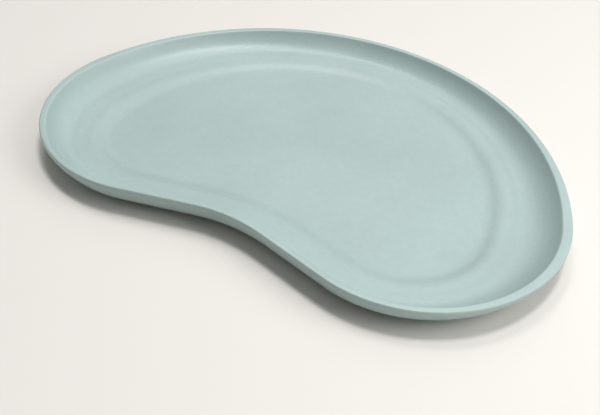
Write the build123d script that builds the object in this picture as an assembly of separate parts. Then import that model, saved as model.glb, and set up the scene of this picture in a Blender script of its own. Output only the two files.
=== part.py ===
from build123d import *
from math import acos, atan2, cos, degrees, hypot, pi, sin, tan
import os

# Shallow kidney dish, moulded in one piece. Millimetres, +Z up.
# Origin: centre of the bounding box, on the plane the dish stands on.
# +X along the length, +Y towards the convex back, -Y towards the notch.

# Rim, measured over its outer edge.
length = 250.0
width = 168.0
end_radius = 0.363 * width
notch_depth = 12.0
notch_radius = 68.0

# Foot of the wall: how far it lies inside the rim's outer edge, and its own radii.
foot_inset_end = 18.7
foot_inset_back = 12.8
foot_inset_front = 10.2
foot_end_radius = end_radius - 15.2
foot_notch_depth = 10.7
foot_notch_radius = 90.0

# The band inside the foot of the wall is narrower at the back. The step keeps its width.
band_width = 6.7
band_narrowing = 3.6
step_width = 11.0

# Heights.
depth = 10.6
step_height = 2.2
band_fall = 0.4
floor_thickness = 3.4
rim_land = 2.0

# Widths in the section through an end, along X.
rim_width = 3.8
under_wall_reach = 16.0

# Rounds along the rim.
rim_outer_round = 0.25 * rim_width
rim_inner_round = 0.25 * rim_width

# Outlines lofted through each curved stretch of the section.
wall_stations = 7
round_stations = 4
step_stations = 7

height = depth + floor_thickness


def kidney(long, wide, front, r_end, dent, r_notch):
    """Kidney wire: back arc, end arcs, straight flanks and notch arc.

    `front` is how far its front stands in from the rim's.
    """
    x_end = long / 2 - r_end
    y_end = front + r_end - width / 2
    rise = wide - r_end
    up = ((rise - r_end) ** 2 - x_end**2) / (2 * (rise - r_end))
    down = r_notch + r_end - dent

    # Where the right-hand end arc begins and stops, as angles about its centre.
    a_back = atan2(-up, x_end)
    a_flank = atan2(-down, -x_end) + acos((r_notch + r_end) / hypot(x_end, down))

    end_centre = Vector(x_end, y_end)
    back_centre = Vector(0, y_end + up)
    notch_centre = Vector(0, y_end - down)
    across = Vector(cos(a_flank), sin(a_flank))
    half_back = 90 - degrees(a_back)
    half_notch = degrees(a_flank) + 90

    back_arc = CenterArc(back_centre, rise - up, 90 - half_back, 2 * half_back)
    end_arc = CenterArc(end_centre, r_end, degrees(a_back), degrees(a_flank - a_back))
    flank = Line(end_centre + across * r_end, notch_centre - across * r_notch)
    notch_arc = CenterArc(notch_centre, r_notch, 90 + half_notch, -2 * half_notch)
    left = [edge.mirror(Plane.YZ) for edge in (end_arc, flank)]
    return Wire([back_arc, end_arc, flank, notch_arc, *left])


def wall_line(inset):
    """Line on the wall, `inset` inside the rim at the ends."""
    share = inset / foot_inset_end
    front = foot_inset_front * share
    back = foot_inset_back * share
    r_end = end_radius + (foot_end_radius - end_radius) * share
    dent = notch_depth + (foot_notch_depth - notch_depth) * share
    r_notch = notch_radius + (foot_notch_radius - notch_radius) * share
    return kidney(length - 2 * inset, width - front - back, front, r_end, dent, r_notch)


def floor_line(offset):
    """Line on the step, `offset` inside the wall's foot except at the back."""
    long = length - 2 * (foot_inset_end + offset)
    front = foot_inset_front + offset
    wide = width - front - foot_inset_back - offset + band_narrowing
    r_end = foot_end_radius - offset
    r_notch = foot_notch_radius + offset
    return kidney(long, wide, front, r_end, foot_notch_depth, r_notch)


def cove(edge_inset, edge_z, reach, foot_z, edge_round):
    """Points of an arc from the rim's edge down to `foot_z`, which it meets level.

    A round between the edge and the level top comes first, unless its radius is 0.
    """
    run = reach - edge_inset
    fall = edge_z - foot_z
    radius = (run**2 + fall**2) / (2 * fall)
    sweep = atan2(run, radius - fall)
    angles = [sweep * (1 - i / wall_stations) for i in range(wall_stations + 1)]
    wall = [(reach - radius * sin(a), foot_z + radius * (1 - cos(a))) for a in angles]
    if not edge_round:
        return wall
    start = edge_inset - edge_round * tan(sweep / 2)
    turns = [sweep * i / round_stations for i in range(round_stations + 1)]
    top = [(start + edge_round * sin(a), edge_z - edge_round * (1 - cos(a))) for a in turns]
    return top + wall[1:]


def skin(edge_inset, edge_z, reach, lowest_z, edge_round):
    """Solid lofted from an edge of the rim down the wall, band and step to the floor."""
    band_z = lowest_z + step_height
    wall = cove(edge_inset, edge_z, reach, band_z + band_fall, edge_round)
    lines = [(wall_line(inset), z) for inset, z in wall]
    for i in range(step_stations + 1):
        share = i / step_stations
        z = lowest_z + step_height * (1 + cos(pi * share)) / 2
        lines.append((floor_line(band_width + step_width * share), z))
    return loft([Face(line).moved(Location((0, 0, z))) for line, z in lines])


def rim_face(body):
    """Level top face of the rim."""
    return body.faces().filter_by_position(Axis.Z, height - 0.01, height + 0.01)[0]


land_z = height - rim_land
land = extrude(Face(wall_line(0)).moved(Location((0, 0, land_z))), rim_land)
outside = skin(0, land_z, under_wall_reach, 0, 0) + land
hollow = skin(rim_width, height, foot_inset_end, floor_thickness, rim_inner_round)

dish_body = outside - hollow
dish_body = fillet(rim_face(dish_body).outer_wire().edges(), rim_outer_round)

os.makedirs("parts", exist_ok=True)
export_step(dish_body, "parts/dish_body.step")
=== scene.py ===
"""Shallow kidney dish in satin moulded plastic, on a plain table under soft light.

Everything is in metres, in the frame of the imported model: +X along the dish, +Y towards
its convex back, -Y towards the notch, +Z up, with the origin under its centre.
"""

import logging
from dataclasses import dataclass, field
from enum import Enum
from math import acos, atan2, cos, hypot, pi, radians, sin

import bmesh
import bpy
from mathutils import Matrix, Vector


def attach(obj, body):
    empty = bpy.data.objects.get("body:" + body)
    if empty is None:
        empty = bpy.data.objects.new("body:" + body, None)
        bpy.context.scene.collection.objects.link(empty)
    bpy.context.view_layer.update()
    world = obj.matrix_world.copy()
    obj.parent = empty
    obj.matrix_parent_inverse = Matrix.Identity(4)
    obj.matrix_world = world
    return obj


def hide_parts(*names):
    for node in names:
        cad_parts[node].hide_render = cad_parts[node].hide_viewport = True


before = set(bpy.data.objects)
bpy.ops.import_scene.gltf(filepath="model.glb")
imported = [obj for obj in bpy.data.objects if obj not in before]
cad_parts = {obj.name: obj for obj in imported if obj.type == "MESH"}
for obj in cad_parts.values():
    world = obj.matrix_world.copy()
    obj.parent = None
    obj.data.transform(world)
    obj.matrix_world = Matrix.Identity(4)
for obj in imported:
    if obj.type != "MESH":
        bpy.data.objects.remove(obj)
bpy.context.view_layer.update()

MM = 0.001
TINY = 1e-6
SEA_GREEN = (0.392, 0.498, 0.482)

# Numbers of a Mix node's colour sockets, whose names it also gives to others.
MIX_FACTOR, MIX_FIRST, MIX_SECOND, MIX_RESULT = 0, 6, 7, 2

log = logging.getLogger("kidney_dish")


class Skin(Enum):
    """The two sides of the moulding."""

    INSIDE = "inside"
    UNDERSIDE = "underside"


class Tree:
    """Short forms for wiring up a node tree."""

    def __init__(self, tree: bpy.types.NodeTree) -> None:
        """Keeps the tree that the nodes go into.

        Args:
            tree: The shader or geometry node tree to add to.
        """
        self.tree = tree

    def node(self, kind: str, **settings: object) -> bpy.types.Node:
        """Adds a node.

        Args:
            kind: The node's type, such as "ShaderNodeMath".
            settings: Properties to set on it.

        Returns:
            The new node.
        """
        made = self.tree.nodes.new(kind)
        for name, value in settings.items():
            setattr(made, name, value)
        return made

    def feed(self, socket: bpy.types.NodeSocket, value: object) -> None:
        """Links a socket to another, or gives it a plain value.

        Args:
            socket: The input socket.
            value: An output socket, or the value to set.
        """
        if isinstance(value, bpy.types.NodeSocket):
            self.tree.links.new(value, socket)
        else:
            socket.default_value = value

    def math(self, operation: str, *values: object) -> bpy.types.NodeSocket:
        """Adds a Math node.

        Args:
            operation: Its operation, such as "MULTIPLY".
            values: Sockets or numbers for its inputs, in order.

        Returns:
            Its output socket.
        """
        made = self.node("ShaderNodeMath", operation=operation)
        for socket, value in zip(made.inputs, values):
            self.feed(socket, value)
        return made.outputs[0]

    def vector_math(self, operation: str, *values: object, scale: object = None) -> bpy.types.NodeSocket:
        """Adds a Vector Math node.

        Args:
            operation: Its operation, such as "ADD".
            values: Sockets or vectors for its vector inputs, in order.
            scale: The scale input's socket or number, for the Scale operation.

        Returns:
            Its vector output socket.
        """
        made = self.node("ShaderNodeVectorMath", operation=operation)
        for socket, value in zip(made.inputs, values):
            self.feed(socket, value)
        if scale is not None:
            self.feed(made.inputs["Scale"], scale)
        return made.outputs[0]


@dataclass(frozen=True)
class KidneyOutline:
    """One kidney line in plan: back arc, end arcs, straight flanks and notch arc.

    Lengths are in metres. The end arcs' centres lie at (+-x_end, y_end).
    """

    x_end: float
    y_end: float
    end_radius: float
    rise: float
    dent: float
    notch_radius: float

    def line(self, counts: "ArcCounts") -> list[tuple[Vector, Vector]]:
        """Points round the line from the middle of the notch, by way of +X.

        Args:
            counts: How many steps each stretch of one half is divided into.

        Returns:
            Each point with its unit normal, which points into the dish.
        """
        up = ((self.rise - self.end_radius) ** 2 - self.x_end**2) / (2 * (self.rise - self.end_radius))
        down = self.notch_radius + self.end_radius - self.dent
        a_back = atan2(-up, self.x_end)
        reach = (self.notch_radius + self.end_radius) / hypot(self.x_end, down)
        a_flank = atan2(-down, -self.x_end) + acos(reach)
        end = Vector((self.x_end, self.y_end, 0))
        back = Vector((0, self.y_end + up, 0))
        notch = Vector((0, self.y_end - down, 0))
        back_radius = self.rise - up

        half: list[tuple[Vector, Vector]] = []
        for i in range(counts.notch):
            a = pi / 2 + (a_flank + pi / 2) * i / counts.notch
            out = Vector((cos(a), sin(a), 0))
            half.append((notch + out * self.notch_radius, out))
        across = Vector((cos(a_flank), sin(a_flank), 0))
        start, stop = notch - across * self.notch_radius, end + across * self.end_radius
        for i in range(counts.flank):
            half.append((start.lerp(stop, i / counts.flank), -across))
        for i in range(counts.end):
            a = a_flank + (a_back - a_flank) * i / counts.end
            out = Vector((cos(a), sin(a), 0))
            half.append((end + out * self.end_radius, -out))
        for i in range(counts.back + 1):
            a = a_back + (pi / 2 - a_back) * i / counts.back
            out = Vector((cos(a), sin(a), 0))
            half.append((back + out * back_radius, -out))

        flip = Matrix.Diagonal((-1, 1, 1))
        other = [(flip @ point, flip @ normal) for point, normal in half[-2:0:-1]]
        return half + other


@dataclass(frozen=True)
class ArcCounts:
    """Steps along the stretches of one half of a kidney line."""

    notch: int = 30
    flank: int = 16
    end: int = 96
    back: int = 90


@dataclass(frozen=True)
class SatinPlastic:
    """Satin moulded polypropylene: fine grain, faint clouding, scuffs and a worn rim.

    Lengths are in metres and the scuffs' turn is in degrees. A range gives the noise
    values between which an effect comes in.
    """

    name: str
    colour: tuple[float, float, float]
    roughness: float = 0.33
    cloud_size: float = 0.055
    cloud_contrast: float = 0.035
    fleck_size: float = 0.0022
    fleck_contrast: float = 0.05
    grain_size: float = 0.0008
    grain_depth: float = 0.00008
    ripple_size: float = 0.007
    ripple_depth: float = 0.00006
    scuff_size: float = 0.012
    scuff_stretch: float = 14.0
    scuff_turn: float = 24.0
    scuff_range: tuple[float, float] = (0.60, 0.78)
    scuff_share: float = 0.25
    scuff_lightening: float = 1.15
    scuff_roughening: float = 0.10
    rim_height: float = 0.0130
    rim_fade: float = 0.8 * MM
    rim_range: tuple[float, float] = (0.35, 0.65)
    rim_least: float = 0.3
    rim_wear: float = 0.35
    rim_lightening: float = 1.22
    rim_roughening: float = 0.04
    cloud_range: tuple[float, float] = (0.3, 0.7)
    cloud_smoothing: float = 0.02
    cloud_roughening: float = 0.03
    refraction: float = 1.49

    def make(self) -> bpy.types.Material:
        """Builds the node material.

        Returns:
            The new material.
        """
        made = bpy.data.materials.new(self.name)
        made.use_nodes = True
        made.node_tree.nodes.clear()
        t = Tree(made.node_tree)
        place = t.node("ShaderNodeTexCoord").outputs["Object"]
        shader = t.node("ShaderNodeBsdfPrincipled")
        output = t.node("ShaderNodeOutputMaterial")
        t.feed(output.inputs["Surface"], shader.outputs[0])
        shader.inputs["IOR"].default_value = self.refraction

        cloud = self.noise(t, place, self.cloud_size, detail=4.0)
        fleck = self.noise(t, place, self.fleck_size, detail=2.0)
        scuff = self.scuffs(t, place)
        rim = self.rim_mask(t, place, cloud)
        t.feed(shader.inputs["Base Color"], self.tint(t, cloud, fleck, scuff, rim))
        t.feed(shader.inputs["Roughness"], self.sheen(t, cloud, scuff, rim))
        t.feed(shader.inputs["Normal"], self.relief(t, place))
        return made

    @staticmethod
    def noise(t: Tree, place: object, size: float, detail: float) -> bpy.types.NodeSocket:
        """Adds a noise.

        Args:
            t: The material's tree.
            place: Socket of the coordinates.
            size: Distance between its lumps, in metres.
            detail: How many finer layers it has.

        Returns:
            The socket of its value, from 0 to 1.
        """
        made = t.node("ShaderNodeTexNoise", noise_dimensions="3D")
        t.feed(made.inputs["Vector"], place)
        made.inputs["Scale"].default_value = 1 / size
        made.inputs["Detail"].default_value = detail
        return made.outputs[0]

    def scuffs(self, t: Tree, place: object) -> bpy.types.NodeSocket:
        """Faint short scratches from things slid along the dish.

        Args:
            t: The material's tree.
            place: Socket of the coordinates.

        Returns:
            The socket of their strength, from 0 to 1.
        """
        turned = t.node("ShaderNodeMapping")
        t.feed(turned.inputs["Vector"], place)
        turned.inputs["Rotation"].default_value = (0, 0, radians(self.scuff_turn))
        turned.inputs["Scale"].default_value = (1, self.scuff_stretch, 1)
        lines = self.noise(t, turned.outputs[0], self.scuff_size, detail=6.0)
        return self.ramp(t, lines, self.scuff_range, (0.0, 1.0))

    def rim_mask(self, t: Tree, place: object, cloud: object) -> bpy.types.NodeSocket:
        """Patchy wear along the top of the rim.

        Args:
            t: The material's tree.
            place: Socket of the coordinates.
            cloud: Socket of the broad noise.

        Returns:
            The socket of its strength, from 0 to 1.
        """
        parts = t.node("ShaderNodeSeparateXYZ")
        t.feed(parts.inputs[0], place)
        heights = (self.rim_height, self.rim_height + self.rim_fade)
        high = self.ramp(t, parts.outputs["Z"], heights, (0.0, 1.0))
        return t.math("MULTIPLY", high, self.ramp(t, cloud, self.rim_range, (self.rim_least, 1.0)))

    @staticmethod
    def ramp(
        t: Tree, value: object, source: tuple[float, float], result: tuple[float, float]
    ) -> bpy.types.NodeSocket:
        """Maps a range smoothly onto another.

        Args:
            t: The material's tree.
            value: Socket of the value.
            source: Values that give the first and the last result.
            result: First and last result.

        Returns:
            The socket of the result.
        """
        made = t.node("ShaderNodeMapRange", interpolation_type="SMOOTHSTEP")
        t.feed(made.inputs["Value"], value)
        made.inputs["From Min"].default_value, made.inputs["From Max"].default_value = source
        made.inputs["To Min"].default_value, made.inputs["To Max"].default_value = result
        return made.outputs[0]

    @staticmethod
    def grey(level: float) -> tuple[float, float, float, float]:
        """Colour that multiplies another evenly by a level."""
        return (level, level, level, 1)

    def shaded(self, factor: float) -> tuple[float, float, float, float]:
        """The plastic's colour, made lighter or darker by a factor."""
        return (*(min(1.0, c * factor) for c in self.colour), 1.0)

    def tint(self, t: Tree, cloud: object, fleck: object, scuff: object, rim: object) -> bpy.types.NodeSocket:
        """Colour with its clouding, flecks, scuffs and rim wear.

        Args:
            t: The material's tree.
            cloud: Socket of the broad noise.
            fleck: Socket of the fine noise.
            scuff: Socket of the scuffs.
            rim: Socket of the rim's wear.

        Returns:
            The colour's socket.
        """
        shade = self.ramp(t, cloud, self.cloud_range, (0.0, 1.0))
        spread = self.cloud_contrast
        base = self.mix(t, shade, self.shaded(1 - spread), self.shaded(1 + spread))
        spread = self.fleck_contrast
        flecks = self.mix(t, fleck, self.grey(1 - spread), self.grey(1 + spread))
        base = self.mix(t, 1.0, base, flecks, "MULTIPLY")
        scuffed = t.math("MULTIPLY", scuff, self.scuff_share)
        base = self.mix(t, scuffed, base, self.shaded(self.scuff_lightening))
        worn = t.math("MULTIPLY", rim, self.rim_wear)
        return self.mix(t, worn, base, self.shaded(self.rim_lightening))

    @staticmethod
    def mix(t: Tree, factor: object, first: object, second: object, way: str = "MIX") -> bpy.types.NodeSocket:
        """Mixes two colours.

        Args:
            t: The material's tree.
            factor: Socket or number of the second colour's share.
            first: Socket or value of the first colour.
            second: Socket or value of the second colour.
            way: The blend mode.

        Returns:
            The colour's socket.
        """
        made = t.node("ShaderNodeMix", data_type="RGBA", blend_type=way)
        t.feed(made.inputs[MIX_FACTOR], factor)
        t.feed(made.inputs[MIX_FIRST], first)
        t.feed(made.inputs[MIX_SECOND], second)
        return made.outputs[MIX_RESULT]

    def sheen(self, t: Tree, cloud: object, scuff: object, rim: object) -> bpy.types.NodeSocket:
        """Roughness, which is higher on scuffs and on the worn rim.

        Args:
            t: The material's tree.
            cloud: Socket of the broad noise.
            scuff: Socket of the scuffs.
            rim: Socket of the rim's wear.

        Returns:
            The roughness socket.
        """
        ends = (self.roughness - self.cloud_smoothing, self.roughness + self.cloud_roughening)
        base = self.ramp(t, cloud, self.cloud_range, ends)
        scuffed = t.math("MULTIPLY", scuff, self.scuff_roughening)
        worn = t.math("ADD", scuffed, t.math("MULTIPLY", rim, self.rim_roughening))
        return t.math("ADD", base, worn)

    def relief(self, t: Tree, place: object) -> bpy.types.NodeSocket:
        """Fine moulded grain over a faint waviness.

        Args:
            t: The material's tree.
            place: Socket of the coordinates.

        Returns:
            The socket of the normal.
        """
        normal: object = None
        layers = ((self.ripple_size, self.ripple_depth, 1.0), (self.grain_size, self.grain_depth, 2.0))
        for size, depth, detail in layers:
            bump = t.node("ShaderNodeBump")
            bump.inputs["Strength"].default_value = 1.0
            bump.inputs["Distance"].default_value = depth
            t.feed(bump.inputs["Height"], self.noise(t, place, size, detail))
            if normal is not None:
                t.feed(bump.inputs["Normal"], normal)
            normal = bump.outputs[0]
        return normal


@dataclass
class KidneyDish:
    """The whole moulding: rim, curved wall, band, step and sunken floor.

    The sizes are those of the solid. Insets are measured at the ends, along X.
    """

    length: float = 250.0 * MM
    width: float = 168.0 * MM
    end_radius: float = 60.984 * MM
    notch_depth: float = 12.0 * MM
    notch_radius: float = 68.0 * MM
    foot_inset_end: float = 18.7 * MM
    foot_inset_back: float = 12.8 * MM
    foot_inset_front: float = 10.2 * MM
    foot_end_radius: float = 45.784 * MM
    foot_notch_depth: float = 10.7 * MM
    foot_notch_radius: float = 90.0 * MM
    band_width: float = 6.7 * MM
    band_narrowing: float = 3.6 * MM
    step_width: float = 11.0 * MM
    depth: float = 10.6 * MM
    step_height: float = 2.2 * MM
    band_fall: float = 0.4 * MM
    floor_thickness: float = 3.4 * MM
    rim_land: float = 2.0 * MM
    rim_width: float = 3.8 * MM
    under_wall_reach: float = 16.0 * MM
    rim_outer_round: float = 0.95 * MM
    rim_inner_round: float = 0.95 * MM
    counts: ArcCounts = field(default_factory=ArcCounts)

    @property
    def height(self) -> float:
        """Height of the rim's top."""
        return self.depth + self.floor_thickness

    def rim_outline(self) -> KidneyOutline:
        """Outer edge of the rim."""
        return KidneyOutline(
            x_end=self.length / 2 - self.end_radius,
            y_end=self.end_radius - self.width / 2,
            end_radius=self.end_radius,
            rise=self.width - self.end_radius,
            dent=self.notch_depth,
            notch_radius=self.notch_radius,
        )

    def foot_outline(self) -> KidneyOutline:
        """Foot of the inside wall."""
        wide = self.width - self.foot_inset_front - self.foot_inset_back
        return KidneyOutline(
            x_end=self.length / 2 - self.foot_inset_end - self.foot_end_radius,
            y_end=self.foot_inset_front + self.foot_end_radius - self.width / 2,
            end_radius=self.foot_end_radius,
            rise=wide - self.foot_end_radius,
            dent=self.foot_notch_depth,
            notch_radius=self.foot_notch_radius,
        )

    def step_outline(self) -> KidneyOutline:
        """Top of the step, where the band ends."""
        inset = self.foot_inset_front + self.band_width
        radius = self.foot_end_radius - self.band_width
        wide = self.width - inset - self.foot_inset_back - self.band_width + self.band_narrowing
        return KidneyOutline(
            x_end=self.length / 2 - self.foot_inset_end - self.foot_end_radius,
            y_end=inset + radius - self.width / 2,
            end_radius=radius,
            rise=wide - radius,
            dent=self.foot_notch_depth,
            notch_radius=self.foot_notch_radius + self.band_width,
        )

    def ring(self) -> bpy.types.Object:
        """Lays out the rim's line, which carries the lines inside it.

        Returns:
            A mesh of loose points, with "foot", "step" and "inward" attributes.
        """
        rim, foot, step = (
            outline.line(self.counts)
            for outline in (self.rim_outline(), self.foot_outline(), self.step_outline())
        )
        mesh = bpy.data.meshes.new("rim_line")
        mesh.from_pydata([tuple(point) for point, _ in rim], [], [])
        values = {
            "foot": [point for point, _ in foot],
            "step": [point for point, _ in step],
            "inward": [normal for _, normal in step],
        }
        for name, vectors in values.items():
            attribute = mesh.attributes.new(name, "FLOAT_VECTOR", "POINT")
            for item, vector in zip(attribute.data, vectors):
                item.vector = vector
        made = bpy.data.objects.new("rim_line", mesh)
        bpy.context.scene.collection.objects.link(made)
        return made

    def sizes(self) -> dict[str, float]:
        """Values for the named inputs of the shell's tree."""
        return {
            "Rim height": self.height,
            "Rim width": self.rim_width,
            "Rim land": self.rim_land,
            "Outer round": self.rim_outer_round,
            "Inner round": self.rim_inner_round,
            "Wall foot": self.foot_inset_end,
            "Under wall foot": self.under_wall_reach,
            "Band width": self.band_width,
            "Band fall": self.band_fall,
            "Step width": self.step_width,
            "Step height": self.step_height,
            "Floor height": self.floor_thickness,
        }

    def build(self, plastic: bpy.types.Material) -> bpy.types.Object:
        """Makes the dish as one closed mesh that stands for the CAD solid.

        Args:
            plastic: The finish.

        Returns:
            The finished piece.
        """
        source = self.ring()
        tree = ShellTree(StripTree().make()).make()
        modifier = source.modifiers.new("shell", "NODES")
        modifier.node_group = tree
        named = {item.name: item.identifier for item in tree.interface.items_tree if item.in_out == "INPUT"}
        for name, value in self.sizes().items():
            modifier[named[name]] = value
        modifier[named["Plastic"]] = plastic
        shape = source.evaluated_get(bpy.context.evaluated_depsgraph_get())
        mesh = bpy.data.meshes.new_from_object(shape)
        mesh.name = "moulded_dish"
        bpy.data.objects.remove(source)

        shell = bmesh.new()
        shell.from_mesh(mesh)
        bmesh.ops.recalc_face_normals(shell, faces=shell.faces)
        shell.to_mesh(mesh)
        shell.free()

        piece = bpy.data.objects.new("moulded_dish", mesh)
        bpy.context.scene.collection.objects.link(piece)
        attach(piece, "root")
        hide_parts("dish_body")
        log.info("%s: %d faces", piece.name, len(mesh.polygons))
        return piece


class StripTree:
    """Geometry tree of one strip of the skin, between two lines round the dish.

    A strip runs along a circular arc in section, which is level where it ends. A point's
    inset is measured at the ends. It is shared between the rim's line and the wall foot's,
    then between the foot's and the step's, and past the step's it is the distance inside.
    """

    SIZES = ("From inset", "From height", "To inset", "To height", "Wall foot", "Band width")
    HALF_GRID = 0.5

    def make(self) -> bpy.types.NodeTree:
        """Builds the tree.

        Returns:
            The new geometry node group.
        """
        tree = bpy.data.node_groups.new("skin_strip", "GeometryNodeTree")
        face = tree.interface
        face.new_socket("Rim line", in_out="INPUT", socket_type="NodeSocketGeometry")
        for name in self.SIZES:
            face.new_socket(name, in_out="INPUT", socket_type="NodeSocketFloat")
        face.new_socket("Gather", in_out="INPUT", socket_type="NodeSocketFloat")
        face.new_socket("Rows", in_out="INPUT", socket_type="NodeSocketInt")
        face.new_socket("Strip", in_out="OUTPUT", socket_type="NodeSocketGeometry")
        t = Tree(tree)
        given = t.node("NodeGroupInput").outputs

        steps = t.node("GeometryNodeAttributeDomainSize", component="MESH")
        t.feed(steps.inputs["Geometry"], given["Rim line"])
        around = steps.outputs["Point Count"]
        grid = t.node("GeometryNodeMeshGrid")
        grid.inputs["Size X"].default_value = 2 * self.HALF_GRID
        grid.inputs["Size Y"].default_value = 2 * self.HALF_GRID
        t.feed(grid.inputs["Vertices X"], t.math("ADD", given["Rows"], 1.0))
        t.feed(grid.inputs["Vertices Y"], t.math("ADD", around, 1.0))
        place = t.node("ShaderNodeSeparateXYZ")
        t.feed(place.inputs[0], t.node("GeometryNodeInputPosition").outputs[0])
        along = t.math("ADD", place.outputs["X"], self.HALF_GRID)
        turn = t.math("MULTIPLY", t.math("ADD", place.outputs["Y"], self.HALF_GRID), around)
        index = t.math("FLOORED_MODULO", t.math("ROUND", turn), around)

        run = t.math("ABSOLUTE", t.math("SUBTRACT", given["To inset"], given["From inset"]))
        fall = t.math("ABSOLUTE", t.math("SUBTRACT", given["To height"], given["From height"]))
        fall = t.math("MAXIMUM", fall, TINY)
        chord = t.math("ADD", t.math("MULTIPLY", run, run), t.math("MULTIPLY", fall, fall))
        radius = t.math("DIVIDE", chord, t.math("MULTIPLY", fall, 2.0))
        sweep = t.math("ARCTAN2", run, t.math("SUBTRACT", radius, fall))
        left = t.math("MULTIPLY", sweep, t.math("SUBTRACT", 1.0, along))
        run_left = t.math("DIVIDE", t.math("SINE", left), t.math("SINE", sweep))
        fall_left = t.math(
            "DIVIDE",
            t.math("SUBTRACT", 1.0, t.math("COSINE", left)),
            t.math("SUBTRACT", 1.0, t.math("COSINE", sweep)),
        )
        inset = self.between(t, given["To inset"], given["From inset"], run_left)
        height = self.between(t, given["To height"], given["From height"], fall_left)

        lines = [self.sample(t, given["Rim line"], index, name) for name in (None, "foot", "step", "inward")]
        rim, foot, step, inward = lines
        past_foot = t.math("MAXIMUM", t.math("SUBTRACT", inset, given["Wall foot"]), 0.0)
        past_band = t.math("MAXIMUM", t.math("SUBTRACT", past_foot, given["Band width"]), 0.0)
        wall_share = t.math("MINIMUM", t.math("DIVIDE", inset, given["Wall foot"]), 1.0)
        band_share = t.math("MINIMUM", t.math("DIVIDE", past_foot, given["Band width"]), 1.0)
        wall = t.vector_math("SCALE", t.vector_math("SUBTRACT", foot, rim), scale=wall_share)
        band = t.vector_math("SCALE", t.vector_math("SUBTRACT", step, foot), scale=band_share)
        point = t.vector_math("ADD", t.vector_math("ADD", rim, wall), band)
        point = t.vector_math("ADD", point, t.vector_math("SCALE", inward, scale=past_band))
        kept = t.math("SUBTRACT", 1.0, t.math("MULTIPLY", given["Gather"], along))
        point = t.vector_math("SCALE", point, scale=kept)
        up = t.node("ShaderNodeCombineXYZ")
        t.feed(up.inputs["Z"], height)

        put = t.node("GeometryNodeSetPosition")
        t.feed(put.inputs["Geometry"], grid.outputs["Mesh"])
        t.feed(put.inputs["Position"], t.vector_math("ADD", point, up.outputs[0]))
        result = t.node("NodeGroupOutput")
        t.feed(result.inputs["Strip"], put.outputs[0])
        return tree

    @staticmethod
    def between(t: Tree, end: object, start: object, left: object) -> bpy.types.NodeSocket:
        """Value part of the way along a strip.

        Args:
            t: The tree to add to.
            end: Value where the strip ends.
            start: Value where it starts.
            left: Share of the way that is still left.

        Returns:
            The socket of the value.
        """
        return t.math("ADD", end, t.math("MULTIPLY", t.math("SUBTRACT", start, end), left))

    @staticmethod
    def sample(t: Tree, line: object, index: object, name: str | None) -> bpy.types.NodeSocket:
        """Reads a vector from a point of the rim's line.

        Args:
            t: The tree to add to.
            line: The geometry socket of the line.
            index: The point's number.
            name: The attribute, or None for the position.

        Returns:
            The socket of the vector.
        """
        if name is None:
            value = t.node("GeometryNodeInputPosition").outputs[0]
        else:
            read = t.node("GeometryNodeInputNamedAttribute", data_type="FLOAT_VECTOR")
            read.inputs["Name"].default_value = name
            value = read.outputs["Attribute"]
        got = t.node("GeometryNodeSampleIndex", data_type="FLOAT_VECTOR", domain="POINT")
        t.feed(got.inputs["Geometry"], line)
        t.feed(got.inputs["Value"], value)
        t.feed(got.inputs["Index"], index)
        return got.outputs["Value"]


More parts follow.
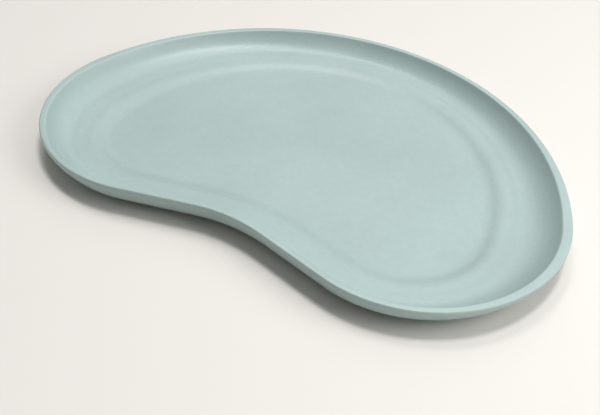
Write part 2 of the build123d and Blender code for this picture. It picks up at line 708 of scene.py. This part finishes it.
class ShellTree:
    """Geometry tree of the whole shell, strip by strip round its section."""

    SIZES = (
        "Rim height",
        "Rim width",
        "Rim land",
        "Outer round",
        "Inner round",
        "Wall foot",
        "Under wall foot",
        "Band width",
        "Band fall",
        "Step width",
        "Step height",
        "Floor height",
    )
    WALL_ROWS = 16
    ROUND_ROWS = 5
    STEP_ROWS = 6
    BAND_ROWS = 3
    FLOOR_ROWS = 10
    TOP_ROWS = 2
    EDGE_ROWS = 1

    def __init__(self, strip: bpy.types.NodeTree) -> None:
        """Keeps the strip's tree.

        Args:
            strip: The tree of one strip.
        """
        self.strip = strip

    def make(self) -> bpy.types.NodeTree:
        """Builds the tree.

        Returns:
            The new geometry node group.
        """
        tree = bpy.data.node_groups.new("kidney_dish_shell", "GeometryNodeTree")
        face = tree.interface
        face.new_socket("Geometry", in_out="INPUT", socket_type="NodeSocketGeometry")
        for name in self.SIZES:
            face.new_socket(name, in_out="INPUT", socket_type="NodeSocketFloat")
        face.new_socket("Plastic", in_out="INPUT", socket_type="NodeSocketMaterial")
        face.new_socket("Geometry", in_out="OUTPUT", socket_type="NodeSocketGeometry")
        self.t = t = Tree(tree)
        self.given = given = t.node("NodeGroupInput").outputs
        self.join = t.node("GeometryNodeJoinGeometry")

        self.lay_rim()
        self.lay_skin(Skin.INSIDE)
        self.lay_skin(Skin.UNDERSIDE)

        merged = t.node("GeometryNodeMergeByDistance")
        t.feed(merged.inputs["Geometry"], self.join.outputs[0])
        merged.inputs["Distance"].default_value = TINY
        smooth = t.node("GeometryNodeSetShadeSmooth")
        t.feed(smooth.inputs["Geometry"], merged.outputs[0])
        real = t.node("GeometryNodeRealizeInstances")
        t.feed(real.inputs["Geometry"], smooth.outputs[0])
        dressed = t.node("GeometryNodeSetMaterial")
        t.feed(dressed.inputs["Geometry"], real.outputs[0])
        t.feed(dressed.inputs["Material"], given["Plastic"])
        result = t.node("NodeGroupOutput")
        t.feed(result.inputs[0], dressed.outputs[0])
        return tree

    def lay(self, start: tuple, end: tuple, rows: int, gather: float = 0.0) -> None:
        """Lays one strip.

        Args:
            start: Inset and height of the line where it starts.
            end: Inset and height of the line where it ends, level.
            rows: Rows of faces across it.
            gather: 1 if its far line shrinks to a point, and otherwise 0.
        """
        strip = self.t.node("GeometryNodeGroup")
        strip.node_tree = self.strip
        values = {
            "Rim line": self.given["Geometry"],
            "From inset": start[0],
            "From height": start[1],
            "To inset": end[0],
            "To height": end[1],
            "Wall foot": self.given["Wall foot"],
            "Band width": self.given["Band width"],
            "Gather": gather,
            "Rows": rows,
        }
        for name, value in values.items():
            self.t.feed(strip.inputs[name], value)
        self.t.tree.links.new(strip.outputs["Strip"], self.join.inputs[0])

    def lay_ess(self, start: tuple, end: tuple, rows: int) -> None:
        """Lays two strips that leave and arrive level, with the slope between them.

        Args:
            start: Inset and height where the slope starts.
            end: Inset and height where it ends.
            rows: Rows of faces across each half.
        """
        sums = (self.t.math("ADD", a, b) for a, b in zip(start, end))
        middle = tuple(self.t.math("DIVIDE", total, 2.0) for total in sums)
        self.lay(middle, start, rows)
        self.lay(middle, end, rows)

    def corner(self) -> tuple[tuple, tuple]:
        """Ends of the round between the rim's top and the inside wall.

        Returns:
            Inset and height of its line on the top, then of its line on the wall.
        """
        t, given = self.t, self.given
        run = t.math("SUBTRACT", given["Wall foot"], given["Rim width"])
        fall = t.math("SUBTRACT", given["Rim height"], self.wall_foot_height(Skin.INSIDE))
        half_slope = t.math("ARCTAN2", fall, run)
        slope = t.math("MULTIPLY", half_slope, 2.0)
        tangent = t.math("MULTIPLY", given["Inner round"], t.math("TANGENT", half_slope))
        top = (t.math("SUBTRACT", given["Rim width"], tangent), given["Rim height"])
        wall = (
            t.math("ADD", given["Rim width"], t.math("MULTIPLY", tangent, t.math("COSINE", slope))),
            t.math("SUBTRACT", given["Rim height"], t.math("MULTIPLY", tangent, t.math("SINE", slope))),
        )
        return top, wall

    def floor_height(self, skin: Skin) -> object:
        """Height of the flat floor on one side of the moulding."""
        return self.given["Floor height"] if skin is Skin.INSIDE else 0.0

    def band_height(self, skin: Skin) -> object:
        """Height of the band's lower edge on one side of the moulding."""
        return self.t.math("ADD", self.floor_height(skin), self.given["Step height"])

    def wall_foot_height(self, skin: Skin) -> object:
        """Height of the wall's foot on one side of the moulding."""
        return self.t.math("ADD", self.band_height(skin), self.given["Band fall"])

    def lay_rim(self) -> None:
        """Lays the rim: its inner round, level top, outer round and upright edge."""
        t, given = self.t, self.given
        top, self.wall_top = self.corner()
        self.lay(self.wall_top, top, self.ROUND_ROWS)
        edge = (given["Outer round"], given["Rim height"])
        self.lay(top, edge, self.TOP_ROWS)
        side = (0.0, t.math("SUBTRACT", given["Rim height"], given["Outer round"]))
        self.lay(side, edge, self.ROUND_ROWS)
        self.land = (0.0, t.math("SUBTRACT", given["Rim height"], given["Rim land"]))
        self.lay(side, self.land, self.EDGE_ROWS)

    def lay_skin(self, skin: Skin) -> None:
        """Lays one side of the moulding, from the rim to the middle of the floor.

        Args:
            skin: Which side.
        """
        t, given = self.t, self.given
        inside = skin is Skin.INSIDE
        top = self.wall_top if inside else self.land
        foot = given["Wall foot"] if inside else given["Under wall foot"]
        edge = t.math("ADD", given["Wall foot"], given["Band width"])
        floor = t.math("ADD", edge, given["Step width"])
        self.lay(top, (foot, self.wall_foot_height(skin)), self.WALL_ROWS)
        self.lay_ess((foot, self.wall_foot_height(skin)), (edge, self.band_height(skin)), self.BAND_ROWS)
        self.lay_ess((edge, self.band_height(skin)), (floor, self.floor_height(skin)), self.STEP_ROWS)
        flat = (floor, self.floor_height(skin))
        self.lay(flat, flat, self.FLOOR_ROWS, gather=1.0)


@dataclass(frozen=True)
class SoftLight:
    """One square area light, aimed at the dish."""

    name: str
    direction: tuple[float, float, float]
    distance: float
    size: float
    power: float
    colour: tuple[float, float, float] = (1.0, 1.0, 1.0)

    def make(self) -> bpy.types.Object:
        """Sets up the light.

        Returns:
            The light's object.
        """
        data = bpy.data.lights.new(self.name, "AREA")
        data.shape = "SQUARE"
        data.size = self.size
        data.energy = self.power
        data.color = self.colour
        made = bpy.data.objects.new(self.name, data)
        towards = Vector(self.direction).normalized()
        made.location = towards * self.distance
        made.rotation_euler = towards.to_track_quat("Z", "Y").to_euler()
        bpy.context.scene.collection.objects.link(made)
        return made


@dataclass(frozen=True)
class Camera:
    """The camera, by where it aims and how it is turned."""

    target: tuple[float, float, float] = (0.0122, -0.0341, -0.0041)
    distance: float = 0.3846
    azimuth: float = 29.74
    elevation: float = 40.91
    roll: float = 1.38
    lens: float = 52.4
    sensor: float = 36.0
    nearest: float = 0.01

    def make(self) -> bpy.types.Object:
        """Sets up the camera and makes it the scene's own.

        Returns:
            The camera's object.
        """
        a, e, r = radians(self.azimuth), radians(self.elevation), radians(self.roll)
        back = Vector((sin(a) * cos(e), -cos(a) * cos(e), sin(e)))
        level = Vector((cos(a), sin(a), 0))
        rise = back.cross(level)
        right = level * cos(r) + rise * sin(r)
        up = rise * cos(r) - level * sin(r)
        data = bpy.data.cameras.new("camera")
        data.lens = self.lens
        data.sensor_width = self.sensor
        data.clip_start = self.nearest
        made = bpy.data.objects.new("camera", data)
        turn = Matrix((right, up, back)).transposed().to_4x4()
        made.matrix_world = Matrix.Translation(Vector(self.target) + back * self.distance) @ turn
        bpy.context.scene.collection.objects.link(made)
        bpy.context.scene.camera = made
        return made


@dataclass(frozen=True)
class Studio:
    """Pale floor, soft lights and a dim, even surround."""

    floor_size: float = 6.0
    floor_colour: tuple[float, float, float] = (0.79, 0.76, 0.72)
    floor_roughness: float = 0.8
    horizon_strength: float = 0.02
    zenith_strength: float = 0.36
    lights: tuple[SoftLight, ...] = (
        SoftLight("key", (0.11, 0.08, 0.99), 1.6, 0.28, 10.0),
        SoftLight("side", (0.80, 0.10, 0.57), 0.75, 0.45, 2.7),
        SoftLight("window", (-0.20, 0.60, 0.77), 2.2, 2.0, 9.0),
        SoftLight("window_top", (-0.24, 0.24, 0.94), 2.2, 0.45, 7.5),
    )

    def floor(self) -> bpy.types.Object:
        """Lays the floor.

        Returns:
            The floor's object.
        """
        half = self.floor_size / 2
        corners = [(-half, -half, 0), (half, -half, 0), (half, half, 0), (-half, half, 0)]
        mesh = bpy.data.meshes.new("floor")
        mesh.from_pydata(corners, [], [(0, 1, 2, 3)])
        made = bpy.data.objects.new("floor", mesh)
        material = bpy.data.materials.new("pale_floor")
        material.use_nodes = True
        shader = material.node_tree.nodes["Principled BSDF"]
        shader.inputs["Base Color"].default_value = (*self.floor_colour, 1)
        shader.inputs["Roughness"].default_value = self.floor_roughness
        mesh.materials.append(material)
        bpy.context.scene.collection.objects.link(made)
        return made

    def build(self) -> None:
        """Lays the floor and sets up the lights and the surround."""
        self.floor()
        for light in self.lights:
            light.make()
        world = bpy.data.worlds.new("surround")
        world.use_nodes = True
        sky = world.node_tree.nodes["Background"]
        t = Tree(world.node_tree)
        height = t.node("ShaderNodeSeparateXYZ")
        t.feed(height.inputs[0], t.node("ShaderNodeTexCoord").outputs["Generated"])
        glow = t.node("ShaderNodeMapRange")
        t.feed(glow.inputs["Value"], height.outputs["Z"])
        glow.inputs["To Min"].default_value = self.horizon_strength
        glow.inputs["To Max"].default_value = self.zenith_strength
        t.feed(sky.inputs["Strength"], glow.outputs[0])
        sky.inputs["Color"].default_value = (1, 1, 1, 1)
        bpy.context.scene.world = world
        bpy.context.scene.view_settings.view_transform = "Standard"


def main() -> None:
    """Builds the dish and the studio, in order."""
    logging.basicConfig(level=logging.INFO, format="%(name)s: %(message)s")
    Camera().make()
    Studio().build()
    plastic = SatinPlastic("dish_plastic", colour=SEA_GREEN).make()
    KidneyDish().build(plastic)


if __name__ == "__main__":
    main()
